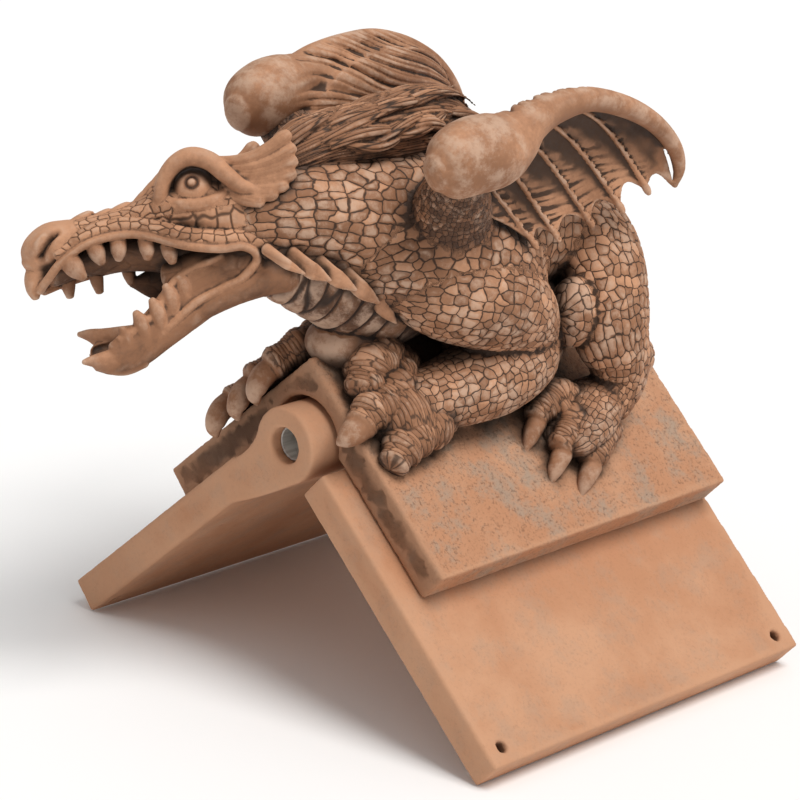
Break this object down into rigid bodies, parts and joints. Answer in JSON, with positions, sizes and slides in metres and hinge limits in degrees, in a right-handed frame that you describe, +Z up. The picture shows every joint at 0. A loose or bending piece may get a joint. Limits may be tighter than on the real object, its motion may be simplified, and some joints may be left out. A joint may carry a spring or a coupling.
{
  "type": "ridge beast ornament",
  "caption": "Terracotta winged dragon cast with the saddle tile it crouches on, over hinged leaves that fold to the pitch of a roof ridge.",
  "frame": {"origin": "middle of the part's box, on the ground plane that the lower edges of both leaves stand on", "axes": "+Z up; Y runs along the ridge and the hinge pin, with the dragon facing -Y; +X is the dragon's left side"},
  "size_m": [0.3226, 0.358, 0.3348],
  "materials": {
    "dragon_clay": "matte",
    "leaf_clay": "matte",
    "pin_metal": "satin"
  },
  "bodies": {
    "ridge_body": {"dragon_on_saddle": "dragon_clay", "right_leaf": "leaf_clay", "hinge_pin": "pin_metal"},
    "folding_leaf": {"left_leaf": "leaf_clay"}
  },
  "joints": [
    {"name": "leaf_hinge", "type": "hinge", "parent": "ridge_body", "child": "folding_leaf", "pos_m": [0, 0, 0.14249], "axis": [0, -1, 0], "range_deg": [0, 40]}
  ]
}
